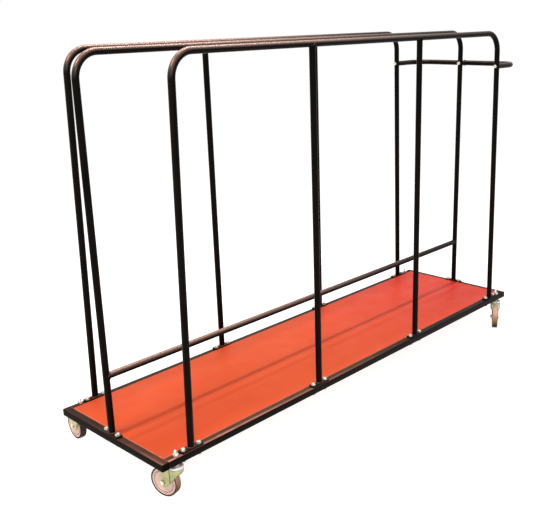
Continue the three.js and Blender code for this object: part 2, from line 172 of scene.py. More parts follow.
def set_surface(finish, colour, dullness, skin=None):
    """Gives a finish its colour, its dullness and its skin. Dullness is a pattern's scale and detail and
    the roughness from least to most. The skin is a pattern's scale and detail and how far it stands out."""
    set_socket(finish, "Base Color", colour)
    scale, detail, least, most = dullness
    set_socket(finish, "Roughness", graded_value(finish, mottle(finish, scale, detail), least, most))
    if skin:
        raise_skin(finish, mottle(finish, *skin[:2]), skin[2])


def powder_coat(
    name, dust_and_highlight_colour, dust_and_highlight_cover, dust_and_highlight_start=0.35, top_gloss=0.06, side_gloss=0.045,
    fades_out=("X", 0.12, -0.3, 0.45),
):
    """Satin black powder coat with its fine orange-peel skin, and a brown dusting on what looks up which is
    partly a painted highlight. Its last setting says along which axis that colour fades out, to what share,
    and between which places."""
    finish = new_finish(name, Specular_Tint=seen(255, 226, 214))
    coat = clouded(finish, seen(8, 9, 7), seen(17, 16, 13), 9)
    patches = graded_value(finish, mottle(finish, 30, 5), 0.55, 1.0)
    axis, least, fade_from, fade_to = fades_out
    fade_share = fading_along(finish, axis, 1.0, least, fade_from, fade_to)
    # The brown dusting on what looks up is partly a painted highlight, and fades out along one axis as that
    # highlight falls off.
    dust_and_highlight = product(finish, facing_up(finish, dust_and_highlight_start), patches, dust_and_highlight_cover, fade_share)
    polish = product(finish, facing_up(finish, 0.02, 0.5), fading_along(finish, "X", 1.0, 0.15, 0.0, 0.7))
    set_socket(finish, "Specular IOR Level", graded_value(finish, polish, side_gloss, top_gloss, 0.0, 1.0))
    set_surface(finish, blended(finish, dust_and_highlight, coat, dust_and_highlight_colour), (18, 3, 0.31, 0.38), (350, 1, 0.000002))
    return finish


def round_corners(corners, radius, steps=4):
    """Rounds an outline's corners. The radius is one value for all, or a list with one for each."""
    radii = radius if isinstance(radius, list) else [radius] * len(corners)
    outline = []
    for i, corner in enumerate(corners):
        here = Vector(corner)
        back = (Vector(corners[i - 1]) - here).normalized()
        ahead = (Vector(corners[(i + 1) % len(corners)]) - here).normalized()
        if radii[i] <= 0:
            outline.append(here)
            continue
        half = back.angle(ahead) / 2
        centre = here + (back + ahead).normalized() * (radii[i] / math.sin(half))
        first = here + back * (radii[i] / math.tan(half)) - centre
        last = here + ahead * (radii[i] / math.tan(half)) - centre
        start = math.atan2(first.y, first.x)
        turn = math.remainder(math.atan2(last.y, last.x) - start, 2 * math.pi)
        for step in range(steps + 1):
            angle = start + turn * step / steps
            outline.append(centre + radii[i] * Vector((math.cos(angle), math.sin(angle))))
    return outline


def rounded_rectangle(width, height, corner, steps=4):
    x, y = width / 2, height / 2
    return round_corners([(x, -y), (x, y), (-x, y), (-x, -y)], corner, steps)


def loft(rings, loop=False):
    """Joins rings with equal counts of points into a closed skin. Without a loop, its two ends are capped."""
    count = len(rings[0])
    points = [point for ring in rings for point in ring]
    faces = []
    for i in range(len(rings) if loop else len(rings) - 1):
        a, b = i * count, (i + 1) % len(rings) * count
        for j in range(count):
            k = (j + 1) % count
            faces.append((a + j, a + k, b + k, b + j))
    if not loop:
        last = (len(rings) - 1) * count
        faces.append(tuple(range(count - 1, -1, -1)))
        faces.append(tuple(range(last, last + count)))
    return points, faces


def together(*skins):
    """Several skins as one."""
    points, faces = [], []
    for more_points, more_faces in skins:
        start = len(points)
        points += list(more_points)
        faces += [tuple(start + i for i in face) for face in more_faces]
    return points, faces


def new_mesh(name, skin, finish, crease=35):
    """A mesh with its faces turned outward, smooth except where they meet at more than the crease angle."""
    mesh = bpy.data.meshes.new(name)
    mesh.from_pydata([tuple(point) for point in skin[0]], [], skin[1])
    turner = bmesh.new()
    turner.from_mesh(mesh)
    bmesh.ops.recalc_face_normals(turner, faces=turner.faces)
    turner.to_mesh(mesh)
    turner.free()
    mesh.materials.append(finish)
    mesh.shade_smooth()
    mesh.set_sharp_from_angle(angle=math.radians(crease))
    return mesh


def add_thing(name, data):
    thing = bpy.data.objects.new(name, data)
    bpy.context.scene.collection.objects.link(thing)
    return thing


def add_piece(name, mesh, body, place=Matrix.Identity(4), stands_for=()):
    """Puts a mesh in the scene on its body, in place of the plain solids that it stands for."""
    piece = add_thing(name, mesh)
    piece.matrix_world = place
    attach(piece, body)
    if stands_for:
        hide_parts(*stands_for)
    return piece


def add_frame_piece(name, skin, finish, stands_for=()):
    """A piece of the frame, whose skin is already in its place."""
    add_piece(name, new_mesh(name, skin, finish), "frame", stands_for=stands_for)


def box_section(low, high, axis, wall, corner, plate=0.0):
    """A box section that fills a box along axis 0 or 1. Its ends are open, or closed by welded plates."""
    across = 1 - axis
    centre = (low[across] + high[across]) / 2, (low[2] + high[2]) / 2
    width, height = high[across] - low[across], high[2] - low[2]
    outside = rounded_rectangle(width, height, corner)
    inside = rounded_rectangle(width - 2 * wall, height - 2 * wall, max(corner - wall, wall / 3))

    def ring(outline, along):
        points = []
        for u, v in outline:
            point = Vector((0, 0, centre[1] + v))
            point[axis], point[across] = along, centre[0] + u
            points.append(point)
        return points

    start, end = low[axis], high[axis]
    if not plate:
        ends = [ring(outside, start), ring(outside, end), ring(inside, end), ring(inside, start)]
        return loft(ends, loop=True)
    lip = rounded_rectangle(width - plate / 2, height - plate / 2, corner)
    tips = [start, start + plate / 4, end - plate / 4, end]
    return loft([ring(lip, tips[0]), ring(outside, tips[1]), ring(outside, tips[2]), ring(lip, tips[3])])


def paint_edge_highlight(finish, axis, edge, colour, fading):
    """Paints a highlight on what looks up along the outer edge of a rail, less towards the ends that fading
    gives.
    """
    coated = shader_of(finish).inputs["Base Color"].links[0].from_socket
    strip = fading_along(finish, axis, 1.0, 0.0, edge + edge_highlight_width / 2, edge + edge_highlight_width)
    patches = graded_value(finish, mottle(finish, 12, 4), 0.5, 1.0, 0.35, 0.6)
    edge_highlight = product(finish, strip, facing_up(finish, 0.3, 0.8), patches, fading)
    set_socket(finish, "Base Color", blended(finish, edge_highlight, coated, colour))


# The rails are copies of one powder coat. The front and near-end copies carry more of the brown dusting and
# painted highlight than the far-end and rear ones, and a pale painted highlight along their outer top edges.
rail_black = powder_coat("satin black powder coat with dust", seen(116, 84, 60), 0.24)
near_end_black = powder_coat(
    "satin black powder coat, near end", seen(112, 74, 54), 0.62, side_gloss=0.015,
    fades_out=("Y", 0.25, -0.24, 0.1),
)
front_black = powder_coat("satin black powder coat, front", seen(116, 84, 60), 0.6)
near_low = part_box("near_end_rail")[0]
near_fading = fading_along(near_end_black, "Y", 0.6, 0.1, -0.28, 0.05)
paint_edge_highlight(near_end_black, "X", near_low.x, seen(166, 108, 94), near_fading)
front_fading = fading_along(front_black, "X", 0.9, 0.0, -0.9, 0.1)
paint_edge_highlight(front_black, "Y", near_low.y, seen(206, 146, 134), front_fading)

for name, axis, plate, coat in (
    ("near_end_rail", 1, end_plate, near_end_black), ("far_end_rail", 1, end_plate, rail_black),
    ("front_rail", 0, 0.0, front_black), ("rear_rail", 0, 0.0, rail_black),
):
    low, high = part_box(name)
    skin = box_section(low, high, axis, rail_wall, rail_corner, plate)
    add_frame_piece(name + "_section", skin, coat, [name])


# Weld seams where the long rails butt against the end rails. They run round the joint as a low ripple of
# overlapping beads, and are coated with the rest, with a pale pink painted highlight on what looks up.
seam_bead = 0.0012
seam_step = 0.001
seam_ripples = 44
ripple_depth = 0.14
bead_sides = 8


def round_turn(count):
    """The cosine and sine at equal steps round a full turn."""
    angles = (2 * math.pi * k / count for k in range(count))
    return [(math.cos(angle), math.sin(angle)) for angle in angles]


def weld_skin(path, up, bead, ripples):
    """A weld bead along a closed path, with its scales as ripples. up is never along the path."""
    rings = []
    count = len(path)
    for i, point in enumerate(path):
        forward = (path[(i + 1) % count] - path[i - 1]).normalized()
        side = forward.cross(Vector(up)).normalized()
        crown = side.cross(forward)
        size = bead * (1 - ripple_depth + ripple_depth * abs(math.cos(math.pi * ripples * i / count)))
        rings.append([point + size * (a * side + b * crown) for a, b in round_turn(bead_sides)])
    return loft(rings, loop=True)


# Painted highlight: the welds' pale pink on what looks up.
weld_black_with_highlight = powder_coat("satin black powder coat over weld with painted highlight", seen(196, 124, 104), 0.9, 0.2)

front_low, front_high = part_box("front_rail")
rear_low, rear_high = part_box("rear_rail")
rail_size = front_high.z - front_low.z
rail_top = front_high.z
for rail, low, high in (("front", front_low, front_high), ("rear", rear_low, rear_high)):
    skins = []
    for end_x in (low.x, high.x):
        centre = (low + high) / 2
        centre.x = end_x
        outline = rounded_rectangle(rail_size, rail_size, rail_corner, 6)
        corners = [centre + Vector((0, u, v)) for u, v in outline]
        path = []
        for corner, after in zip(corners, corners[1:] + corners[:1]):
            count = max(1, round((after - corner).length / seam_step))
            path += [corner.lerp(after, k / count) for k in range(count)]
        skins.append(weld_skin(path, (1, 0, 0), seam_bead, seam_ripples))
    add_frame_piece(rail + "_rail_seams", together(*skins), weld_black_with_highlight)


# Cross members under the deck. Four flat box sections, 25 by 12 mm, set level with the frame's underside
# and welded between the long rails. The deck lies on them.
cross_wall = 0.0015
cross_corner = 0.002
for number in range(1, 5):
    name = f"cross_member_{number}"
    low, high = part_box(name)
    skin = box_section(low, high, 1, cross_wall, cross_corner)
    add_frame_piece(name + "_section", skin, rail_black, [name])


# Deck panel. One sheet of 15 mm birch plywood, coated orange-red on all sides, with its edges eased by
# sanding. It drops in between the rails and stands a little proud of them. Its eased edges and other faces
# are painted pale pink as a highlight, and its top turns a deeper red towards the far end as painted shade.
deck_edge = 0.0016
deck_corner = 0.003


def slab_skin(low, high, corner, edge, steps=4):
    """A flat plate that fills a box, with rounded corners in plan and rounded edges above and below."""
    centre_x, centre_y = (low[0] + high[0]) / 2, (low[1] + high[1]) / 2
    levels = []
    for step in range(steps + 1):
        angle = math.pi / 2 * step / steps
        levels.append((edge * (1 - math.sin(angle)), low[2] + edge * (1 - math.cos(angle))))
    levels += [(inset, low[2] + high[2] - level) for inset, level in reversed(levels)]
    rings = []
    for inset, level in levels:
        width, depth = high[0] - low[0] - 2 * inset, high[1] - low[1] - 2 * inset
        outline = rounded_rectangle(width, depth, max(corner - inset, edge / 4))
        rings.append([Vector((centre_x + u, centre_y + v, level)) for u, v in outline])
    return loft(rings)


deck_red = new_finish("orange-red coated plywood", Specular_IOR_Level=0.1)
broad = clouded(deck_red, seen(204, 80, 40), seen(221, 94, 52), 2.2, 4, (0.5, 1, 1))
# Painted shade: the board turns a deeper red towards the far end.
painted_falloff_share = fading_along(deck_red, "X", 0.0, 0.75, -0.2, 1.0)
with_painted_falloff = blended(deck_red, painted_falloff_share, broad, seen(213, 46, 46))
grain = mottle(deck_red, 26, 6, (0.06, 1, 1))
streaks = graded_value(deck_red, grain, 0.0, 0.16, 0.35, 0.75)
surface = blended(deck_red, streaks, with_painted_falloff, seen(206, 70, 42))
# Painted highlight: every face but the flat top, the eased edges most of all, is pale pink.
clear_of_edge_highlight = facing_up(deck_red, 0.8, 0.97)
set_surface(deck_red, blended(deck_red, clear_of_edge_highlight, seen(255, 150, 128), surface), (14, 6, 0.42, 0.56))
raise_skin(deck_red, grain, 0.00012)

deck_skin = slab_skin(*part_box("deck_panel"), deck_corner, deck_edge)
add_frame_piece("deck_board", deck_skin, deck_red, ["deck_panel"])


# Hoops. Three lengths of 22 mm round steel tube, each bent at its two top corners. The front and rear
# hoops stand on the long rails and their legs lean in a little. The middle hoop stands on the end rails.
# Each hoop has its legs welded to foot plates.
tube_wall = 0.0015
bend_radius = 0.075
side_splay = 0.025
bend_steps = 18
tube_sides = 32


def hoop_stations(half_span, foot, top, lean):
    """Points and directions along a hoop in its own plane, whose legs lean in and end level."""
    bend_centre = top - bend_radius
    rise = bend_centre + bend_radius * math.sin(lean) - foot
    half_bar = half_span - rise * math.tan(lean) - bend_radius * math.cos(lean)
    stations = [((-half_span, foot), (0, 1))]
    for side in (-1, 1):
        for step in range(bend_steps + 1):
            swept = (math.pi / 2 - lean) * step / bend_steps
            angle = math.pi - lean - swept if side < 0 else math.pi / 2 - swept
            arc = math.cos(angle), math.sin(angle)
            point = side * half_bar + bend_radius * arc[0], bend_centre + bend_radius * arc[1]
            stations.append((point, (arc[1], -arc[0])))
    return stations + [((half_span, foot), (0, -1))]


def rings_along(stations, radius, side):
    """Round rings along a path that lies in one plane. side is the direction square to that plane."""
    side = Vector(side)
    rings = []
    for point, direction in stations:
        outward = direction.normalized().cross(side)
        rings.append([point + radius * (a * side + b * outward) for a, b in round_turn(tube_sides)])
    return rings


def tube_skin(stations, side, fit_ends=None):
    """A hollow tube along a path. fit_ends cuts a ring's points to fit what the ends meet."""
    outside = rings_along(stations, tube_radius, side)
    inside = rings_along(stations, tube_radius - tube_wall, side)
    if fit_ends:
        for rings in (outside, inside):
            rings[0] = [fit_ends(point, False) for point in rings[0]]
            rings[-1] = [fit_ends(point, True) for point in rings[-1]]
    return loft(outside + inside[::-1], loop=True)


# Painted highlight: the tubes' pale brown-pink on what looks up stands partly for the lamps' highlight along
# the bars, and fades towards the far end.
tube_black = powder_coat("satin black powder coat on tube", seen(190, 136, 112), 0.5, 0.3, 1.0)
front_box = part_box("front_hoop")
tube_radius = (front_box[1].y - front_box[0].y) / 2
hoop_top = front_box[1].z - tube_radius
tube_foot = front_box[0].z
side_lean = math.atan(side_splay / (hoop_top - rail_top))
hoops = {}
for name, lean in (("front_hoop", side_lean), ("middle_hoop", 0.0), ("rear_hoop", side_lean)):
    low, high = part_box(name)
    middle = (low + high) / 2
    half_span = (high.x - low.x) / 2 - tube_radius
    hoops[name] = middle, half_span
    stations = [
        (Vector((middle.x + point[0], middle.y, point[1])), Vector((direction[0], 0, direction[1])))
        for point, direction in hoop_stations(half_span, tube_foot, hoop_top, lean)
    ]
    add_frame_piece(name + "_tube", tube_skin(stations, (0, 1, 0)), tube_black, [name])


# Inner uprights. Two straight lengths of the same tube in the front hoop and two in the rear hoop. Each
# top is coped to sit round the underside of the hoop's bar, and is welded there in a saddle-shaped seam.
fit_gap = 0.0003
saddle_bead = 0.0019
saddle_reach = tube_radius + saddle_bead / 3
saddle_steps = 96
saddle_ripples = 30
coped_share = 0.97


def cope(offset, radius=tube_radius + fit_gap):
    """How far a round tube's surface is from its centre plane, at an offset across it."""
    return math.sqrt(max(radius ** 2 - offset ** 2, 0.0))


for hoop in ("front_hoop", "rear_hoop"):
    for number in (1, 2):
        name = f"{hoop}_upright_{number}"
        low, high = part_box(name)
        x, y = ((low + high) / 2).xy
        stations = [(Vector((x, y, z)), Vector((0, 0, 1))) for z in (tube_foot, hoop_top - tube_radius)]

        def fit_under_bar(point, at_top):
            return Vector((point.x, point.y, hoop_top - cope(point.y - y))) if at_top else point

        upright = tube_skin(stations, (0, 1, 0), fit_under_bar)
        add_frame_piece(name + "_tube", upright, tube_black, [name])
        saddle = []
        for along, across in round_turn(saddle_steps):
            offset = saddle_reach * across * coped_share
            saddle.append(Vector((x + saddle_reach * along, y + offset, hoop_top - cope(offset))))
        seam = weld_skin(saddle, (0, 0, 1), saddle_bead, saddle_ripples)
        add_frame_piece(name + "_top_weld", seam, weld_black_with_highlight)


# Low rail. One straight tube between the two legs of the middle hoop, coped round each leg and welded.
# It keeps the lower edges of the mats apart.
def cross_weld(leg_x, leg_y, level, towards):
    """The seam where a level tube along X meets an upright tube on its +X or -X side."""
    path = []
    for across, rise in round_turn(saddle_steps):
        offset = saddle_reach * across * coped_share
        path.append(Vector((leg_x + towards * cope(offset), leg_y + offset, level + saddle_reach * rise)))
    return weld_skin(path, (1, 0, 0), saddle_bead, saddle_ripples)


low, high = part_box("middle_low_rail")
middle, half_span = hoops["middle_hoop"]
leg_xs = [middle.x + side * half_span for side in (-1, 1)]
leg_y = middle.y
low_rail_z = (low.z + high.z) / 2


def fit_between_legs(point, at_far_end):
    leg, towards = (leg_xs[1], -1) if at_far_end else (leg_xs[0], 1)
    return Vector((leg + towards * cope(point.y - leg_y), point.y, point.z))


stations = [(Vector((x, leg_y, low_rail_z)), Vector((1, 0, 0))) for x in leg_xs]
low_rail = tube_skin(stations, (0, 0, 1), fit_between_legs)
add_frame_piece("low_rail_tube", low_rail, tube_black, ["middle_low_rail"])
for end, leg_x, towards in (("near", leg_xs[0], 1), ("far", leg_xs[1], -1)):
    add_frame_piece(f"low_rail_{end}_weld", cross_weld(leg_x, leg_y, low_rail_z, towards), weld_black_with_highlight)


# Foot plates. Ten flat steel plates, 84 by 25 by 5 mm, one welded under each leg and upright. Each lies
# on its rail and is clamped there by two zinc plated M8 bolts with a washer on top and a nut below.
plate_thickness = 0.005
plate_corner = 0.004
plate_edge = 0.0008
foot_bead = 0.0024
foot_ripples = 26
bolt_spacing = 0.06
bolt_diameter = 0.008
bolt_turn = 0.35
bolt_flats = 0.013
bolt_head = 0.0053
bolt_nut = 0.0065
bolt_end = 0.002
washer_diameter = 0.016
washer_thickness = 0.0016
thread_pitch = 0.00125
thread_depth = 0.00075
fork_crease = 0.0163


def turned_skin(profile, sides=48, loop=False):
    """Turns radius and height points about the Z axis. A loop is a closed outline, and a line is capped."""
    rings = [[Vector((r * x, r * y, height)) for x, y in round_turn(sides)] for r, height in profile]
    return loft(rings, loop)


def hexagon_skin(flats, low, high, chamfers=(False, True), bore=0.0):
    """A hexagon bar or nut from low to high, with its corners turned off at the marked ends."""
    sides, face_share, chamfer = 48, 0.96, math.radians(30)
    face, slope = flats / 2 * face_share, math.tan(chamfer)
    reach = [flats / 2 / math.cos(math.remainder(2 * math.pi * k / sides, math.pi / 3)) for k in range(sides)]

    def ring(radii, level, slope=0.0):
        turns = zip(radii, round_turn(sides))
        return [Vector((r * x, r * y, level + (r - face) * slope)) for r, (x, y) in turns]

    rings = [ring([face] * sides, low)] if chamfers[0] else []
    rings.append(ring(reach, low, slope if chamfers[0] else 0.0))
    rings.append(ring(reach, high, -slope if chamfers[1] else 0.0))
    if chamfers[1]:
        rings.append(ring([face] * sides, high))
    if bore:
        rings += [ring([bore] * sides, high), ring([bore] * sides, low)]
    return loft(rings, loop=bore > 0)


def thread_skin(diameter, low, high, pitch, depth, tip):
    """A threaded bar from low to high, with a helical groove and a chamfered top."""
    sides, rows_each_pitch = 24, 6
    rows = math.ceil((high - low) / pitch * rows_each_pitch)
    rings = []
    for row in range(rows + 1):
        height = low + (high - low) * row / rows
        ring = []
        for k, (x, y) in enumerate(round_turn(sides)):
            phase = (height / pitch - k / sides) % 1.0
            groove = depth * (1 - abs(2 * phase - 1))
            radius = min(diameter / 2 - groove, diameter / 2 - tip + max(high - height, 0.0))
            ring.append(Vector((radius * x, radius * y, height)))
        rings.append(ring)
    return loft(rings)


def bolt_skin(seat, end):
    """An M8 bolt with its head on a seat, and its plain shank down to an end."""
    shank = [(bolt_diameter / 2, end), (bolt_diameter / 2, seat + bolt_head / 2)]
    return together(hexagon_skin(bolt_flats, seat, seat + bolt_head), turned_skin(shank))


def nut_skin(top, beyond, tip, chamfers):
    """An M8 nut under a face, with the bolt's threaded end through it and some way beyond."""
    points, faces = thread_skin(bolt_diameter, -top, bolt_nut - top + beyond, thread_pitch, thread_depth, tip)
    hanging = [Vector((p.x, -p.y, -p.z)) for p in points], faces
    return together(hanging, hexagon_skin(bolt_flats, top - bolt_nut, top, chamfers, bolt_diameter / 2))


def hollow_shade(finish, width, most):
    """Up to the given most in corners and hollows of about the given width, where painted shade darkens the
    colour.
    """
    openness = add_node(finish, "AmbientOcclusion", {"Distance": width}, samples=12).outputs["AO"]
    return graded_value(finish, openness, most, 0.0, 0.55, 0.9)


zinc = new_finish("bright zinc plate", Metallic=0.85, Specular_IOR_Level=0.6)
bright = clouded(zinc, seen(206, 202, 190), seen(240, 238, 232), 160, 4)
tarnish = graded_value(zinc, mottle(zinc, 60, 5), 0.0, 0.35, 0.45, 0.75)
plated = blended(zinc, tarnish, bright, seen(196, 186, 150))
set_surface(zinc, plated, (240, 3, 0.24, 0.4), (1500, 2, 0.00002))

fork_zinc = new_finish("yellow passivated zinc", Metallic=0.4, Specular_IOR_Level=0.55)
clouds = graded(
    fork_zinc, mottle(fork_zinc, 70, 4),
    (0.28, seen(164, 180, 116)), (0.5, seen(184, 195, 136)), (0.72, seen(204, 198, 154)),
)
blush = graded_value(fork_zinc, mottle(fork_zinc, 32, 3), 0.0, 0.4, 0.5, 0.72)
warmed = blended(fork_zinc, blush, clouds, seen(216, 190, 162))
# Painted highlight: faces of the fork that look up turn pale cream.
painted_top_highlight = product(fork_zinc, facing_up(fork_zinc, 0.1, 0.8), 0.85)
with_top_highlight = blended(fork_zinc, painted_top_highlight, warmed, seen(246, 234, 214))
# Painted shade: corners and hollows of the fork turn dark green.
with_hollow_shade = blended(fork_zinc, hollow_shade(fork_zinc, 0.008, 0.75), with_top_highlight, seen(66, 74, 40))
# Painted shade: a dark green line down each cheek where it leaves the crown.
from_crease = reckoned(fork_zinc, "SUBTRACT", place_along(fork_zinc, "X"), fork_crease)
crease = graded_value(fork_zinc, reckoned(fork_zinc, "ABSOLUTE", from_crease), 0.9, 0.0, 0.0008, 0.0032)
pressed = blended(fork_zinc, crease, with_hollow_shade, seen(72, 84, 44))
set_surface(fork_zinc, pressed, (110, 3, 0.34, 0.48), (900, 2, 0.00001))

rail_underside = front_low.z
plate_top = rail_top + fit_gap + plate_thickness
head_seat = plate_top + washer_thickness
nut_top = rail_underside - fit_gap
washer_bore, washer_low = bolt_diameter / 2 + fit_gap, plate_top + plate_edge / 4
washer = [
    (washer_bore, washer_low), (washer_diameter / 2, washer_low),
    (washer_diameter / 2, head_seat), (washer_bore, head_seat),
]
bolt_mesh = new_mesh("foot_bolt", together(
    bolt_skin(head_seat, nut_top - bolt_nut / 2),
    turned_skin(round_corners(washer, [0, plate_edge / 2, plate_edge / 2, 0], 3), loop=True),
), zinc)
nut_mesh = new_mesh("foot_nut", nut_skin(nut_top, bolt_end, bolt_end / 3, (True, True)), fork_zinc)

foot_names = [name for name in frame["nodes"] if name.endswith("_foot")]
for name in foot_names:
    low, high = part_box(name)
    x, y = ((low + high) / 2).xy
    along_x = high.x - low.x > high.y - low.y
    plate_half_width = min(high.x - low.x, high.y - low.y) / 2
    corners = (low.x, low.y, rail_top + fit_gap), (high.x, high.y, plate_top)
    plate = slab_skin(*corners, plate_corner, plate_edge)
    add_frame_piece(name + "_plate", plate, rail_black, [name])
    for number, side in ((1, -1), (2, 1)):
        step = side * bolt_spacing / 2
        turn = Matrix.Rotation(bolt_turn * (foot_names.index(name) + side), 4, "Z")
        place = Matrix.Translation((x + step, y, 0) if along_x else (x, y + step, 0)) @ turn
        add_piece(f"{name}_bolt_{number}", bolt_mesh, "frame", place)
        add_piece(f"{name}_bolt_{number}_nut", nut_mesh, "frame", place)
    reach, reach_across = tube_radius + foot_bead / 3, plate_half_width - foot_bead
    reach_x, reach_y = (reach, reach_across) if along_x else (reach_across, reach)
    level = plate_top + foot_bead / 4
    ring = [Vector((x + reach_x * a, y + reach_y * b, level)) for a, b in round_turn(saddle_steps)]
    add_frame_piece(name + "_weld", weld_skin(ring, (0, 0, 1), foot_bead, foot_ripples), weld_black_with_highlight)


# Push handle. One tube bent to a flat U, whose ends are coped to the far legs of the front and rear
# hoops. A short rod joins its bar to the middle hoop. An M8 bolt like those of the foot plates goes
# through each of the three legs, into a plug or into the rod.
handle_low, handle_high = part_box("push_handle")
handle_z = (handle_low.z + handle_high.z) / 2
handle_y = (handle_low.y + handle_high.y) / 2
handle_half = (handle_high.y - handle_low.y) / 2 - tube_radius
bar_x = handle_high.x - tube_radius
front_middle, front_half_span = hoops["front_hoop"]
joint_drop = (handle_z - tube_foot) * math.tan(side_lean)
joint_x = front_middle.x + front_half_span - joint_drop


def fit_round_side_leg(point, at_far_end):
    leg = handle_y + (handle_half if at_far_end else -handle_half)
    lean_in = (point.z - handle_z) * math.tan(side_lean)
    return Vector((joint_x - lean_in + cope(point.y - leg), point.y, point.z))


stations = [
    (Vector((point[1], handle_y + point[0], handle_z)), Vector((direction[1], direction[0], 0)))
    for point, direction in hoop_stations(handle_half, joint_x, bar_x, 0.0)
]
handle = tube_skin(stations, (0, 0, 1), fit_round_side_leg)
add_frame_piece("handle_tube", handle, tube_black, ["push_handle"])


def fit_leg_to_bar(point, at_bar):
    if at_bar:
        return Vector((bar_x - cope(point.z - handle_z), point.y, point.z))
    return Vector((leg_xs[1] + cope(point.y - leg_y), point.y, point.z))


stations = [(Vector((x, leg_y, handle_z)), Vector((1, 0, 0))) for x in (leg_xs[1], bar_x)]
stub = tube_skin(stations, (0, 0, 1), fit_leg_to_bar)
add_frame_piece("handle_stub_rod", stub, tube_black, ["handle_stub"])

bar_seam = []
for along, rise in round_turn(saddle_steps):
    offset = saddle_reach * rise * coped_share
    bar_seam.append(Vector((bar_x - cope(offset), leg_y + saddle_reach * along, handle_z + offset)))
bar_weld = weld_skin(bar_seam, (1, 0, 0), saddle_bead, saddle_ripples)
add_frame_piece("handle_stub_bar_weld", bar_weld, weld_black_with_highlight)
add_frame_piece("handle_stub_leg_weld", cross_weld(leg_xs[1], leg_y, handle_z, 1), weld_black_with_highlight)

screw_mesh = new_mesh("handle_bolt", bolt_skin(0.0, -2 * tube_radius), zinc)
for place_name in ("front", "middle", "rear"):
    name = "handle_bolt_" + place_name
    low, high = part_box(name)
    seat = (low + high) / 2
    seat.x = low.x + bolt_head
    place = Matrix.Translation(seat) @ Matrix.Rotation(-math.pi / 2, 4, "Y")
    add_piece(name + "_screw", screw_mesh, "frame", place, stands_for=[name])


# Castor stems. A zinc plated M10 stem with a hexagon shoulder comes up through the rail, and a nut holds
# it. Below the shoulder sits the pressed cup, the fixed race of the swivel, with the kingpin through it.
shoulder_flats = 0.017
shoulder_height = 0.0055
stem_diameter = 0.01
stem_pitch = 0.0015
stem_thread_depth = 0.0009
stem_tip = 0.0015
stem_nut_flats = 0.016
stem_nut_height = 0.0084
cup_diameter = 0.046
cup_sheet = 0.0024
cup_depth = 0.0075
cup_bend = 0.0034
cup_bend_inside = 0.001
cup_lip = 0.0006
cup_sides = 72
kingpin_diameter = 0.01
kingpin_head = 0.016
kingpin_head_height = 0.003
ball_diameter = 0.0056
ball_circle = 0.034
ball_count = 17

bright_steel = new_finish("bright plated steel", Metallic=0.3, Specular_IOR_Level=0.6)
polished = clouded(bright_steel, seen(226, 226, 226), seen(248, 248, 249), 90, 4)
grime = graded_value(bright_steel, mottle(bright_steel, 200, 5), 0.0, 0.25, 0.55, 0.85)
set_surface(bright_steel, blended(bright_steel, grime, polished, seen(186, 170, 144)), (130, 3, 0.26, 0.42))

shoulder_top = rail_underside - fit_gap
cup_top = shoulder_top - shoulder_height
cup_under = cup_top - cup_sheet
cup_low = cup_top - cup_depth
ball_level = cup_under - fit_gap - ball_diameter / 2
crown_top = cup_under - 2 * fit_gap - ball_diameter
fork_sheet = 0.0024
crown_under = crown_top - fork_sheet
stem_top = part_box("castor_near_front_stem")[1].z

pivots = {joint["name"]: Vector(joint["pos_m"]) for joint in frame["joints"]}
castor_places = {}
for castor in (name.removesuffix("_turn") for name in pivots if name.endswith("_turn")):
    stem_axis = pivots[castor + "_turn"]
    back = pivots[castor + "_roll"] - stem_axis
    heading = Matrix.Rotation(math.atan2(back.y, back.x), 4, "Z")
    castor_places[castor] = Matrix.Translation((stem_axis.x, stem_axis.y, 0)) @ heading
back = pivots["castor_near_front_roll"] - pivots["castor_near_front_turn"]
trail = math.hypot(back.x, back.y)
axle_z = pivots["castor_near_front_roll"].z

cup_radius = cup_diameter / 2
cup_profile = [
    (stem_diameter / 2, cup_top), (stem_diameter / 2, cup_under), (cup_radius - cup_sheet, cup_under),
    (cup_radius - cup_sheet, cup_low), (cup_radius, cup_low), (cup_radius, cup_top),
]
cup_radii = [0, 0, cup_bend_inside, cup_lip, cup_lip, cup_bend]
cup_skin = turned_skin(round_corners(cup_profile, cup_radii, 6), cup_sides, loop=True)
cup_mesh = new_mesh("castor_cup", cup_skin, bright_steel, crease=50)
stem_mesh = new_mesh("castor_stem", together(
    hexagon_skin(shoulder_flats, cup_top, shoulder_top, (False, False)),
    turned_skin([(stem_diameter / 2, shoulder_top - shoulder_height / 2), (stem_diameter / 2, rail_top)]),
    thread_skin(stem_diameter, rail_top - stem_pitch, stem_top, stem_pitch, stem_thread_depth, stem_tip),
), zinc)
pin_low = crown_under - fit_gap - kingpin_head_height
pin_edge = kingpin_head_height / 2
pin_mesh = new_mesh("castor_kingpin", turned_skin([
    (kingpin_head / 2 - pin_edge, pin_low), (kingpin_head / 2 - pin_edge / 4, pin_low + pin_edge / 3),
    (kingpin_head / 2, pin_low + pin_edge), (kingpin_head / 2, crown_under - fit_gap),
    (kingpin_diameter / 2, crown_under - fit_gap), (kingpin_diameter / 2, cup_under),
]), zinc)
nut_mesh = new_mesh("castor_stem_nut", hexagon_skin(
    stem_nut_flats, rail_top + fit_gap, rail_top + fit_gap + stem_nut_height, (True, True), stem_diameter / 2,
), zinc)

ball = bmesh.new()
for x, y in round_turn(ball_count):
    spot = Matrix.Translation((ball_circle / 2 * x, ball_circle / 2 * y, ball_level))
    bmesh.ops.create_icosphere(ball, subdivisions=3, radius=ball_diameter / 2, matrix=spot)
ball_mesh = bpy.data.meshes.new("castor_balls")
ball.to_mesh(ball_mesh)
ball.free()
ball_mesh.materials.append(bright_steel)
ball_mesh.shade_smooth()

